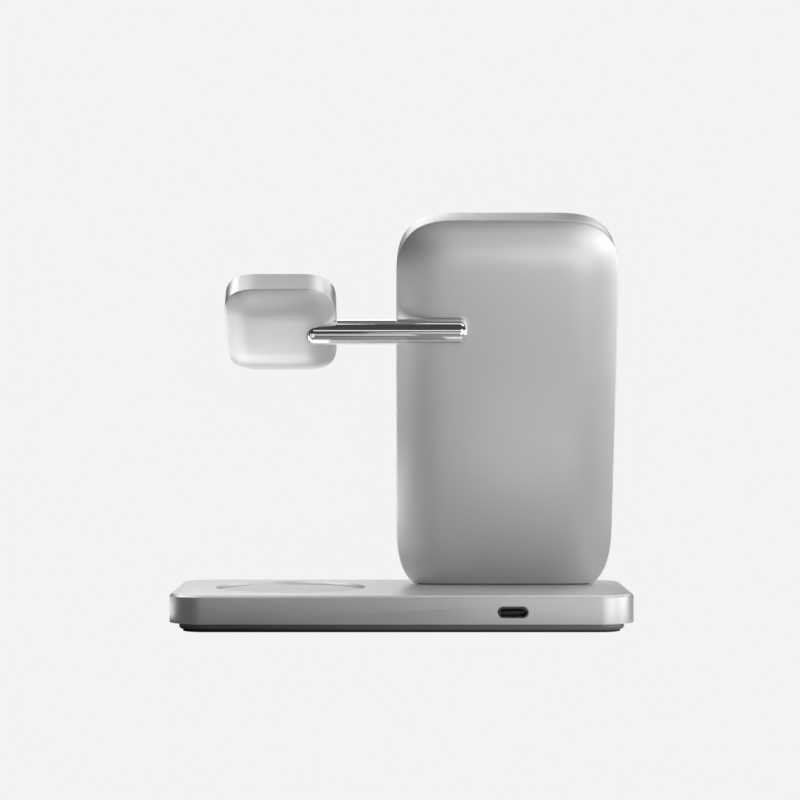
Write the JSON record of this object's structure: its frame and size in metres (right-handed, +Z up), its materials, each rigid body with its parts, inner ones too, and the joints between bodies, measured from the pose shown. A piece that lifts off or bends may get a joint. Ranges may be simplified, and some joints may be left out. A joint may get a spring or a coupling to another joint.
{
  "type": "magnetic charging stand",
  "caption": "Desk charging stand: a leaning magnetic phone plate on a low slab base, a round arm that carries a tilted watch block, and a shallow earbud dish.",
  "frame": {"origin": "centre of the base's underside, on the surface the stand rests on", "axes": "+X along the base towards the earbud dish, +Y to the back with the power socket, +Z up; the phone and the watch face -Y"},
  "size_m": [0.142, 0.066, 0.1283],
  "materials": {
    "satin_aluminium": "fine bead-blasted, clear anodised, satin",
    "polished_chrome": "polished",
    "dark_tray": "fine matt dark grey coat",
    "black_rubber": "matt",
    "soft_white": "soft-touch, matt",
    "black_plastic": "fine texture",
    "bare_steel": "plated",
    "copper_wire": "enamelled winding",
    "grey_ferrite": "sintered, matt",
    "green_board": "lacquered board"
  },
  "bodies": {
    "root": {"base_housing": "satin_aluminium", "base_tray": "dark_tray", "foot_pad": "black_rubber", "tray_screws": "bare_steel", "ballast_plate": "bare_steel", "ballast_screws": "bare_steel", "main_board": "green_board", "board_parts": "black_plastic", "board_screws": "bare_steel", "power_socket": "bare_steel", "socket_tongue": "black_plastic", "earbud_pad": "soft_white", "earbud_coil": "copper_wire", "earbud_ferrite": "grey_ferrite", "plate_bracket": "bare_steel", "bracket_screws": "bare_steel", "foot_gasket": "black_rubber", "plate_back_shell": "satin_aluminium", "plate_front_cover": "soft_white", "phone_pad": "soft_white", "phone_magnets": "bare_steel", "magnet_shield": "bare_steel", "phone_coil": "copper_wire", "phone_ferrite": "grey_ferrite", "coil_carrier": "black_plastic", "driver_board": "green_board", "driver_screws": "bare_steel", "support_arm": "polished_chrome", "arm_screws": "bare_steel", "block_screw": "bare_steel", "power_lead": "black_rubber", "watch_lead": "black_rubber", "block_shell": "satin_aluminium", "block_front_cover": "soft_white", "watch_puck": "soft_white", "watch_coil": "copper_wire", "watch_magnet": "bare_steel", "watch_ferrite": "grey_ferrite", "watch_board": "green_board"}
  },
  "joints": []
}
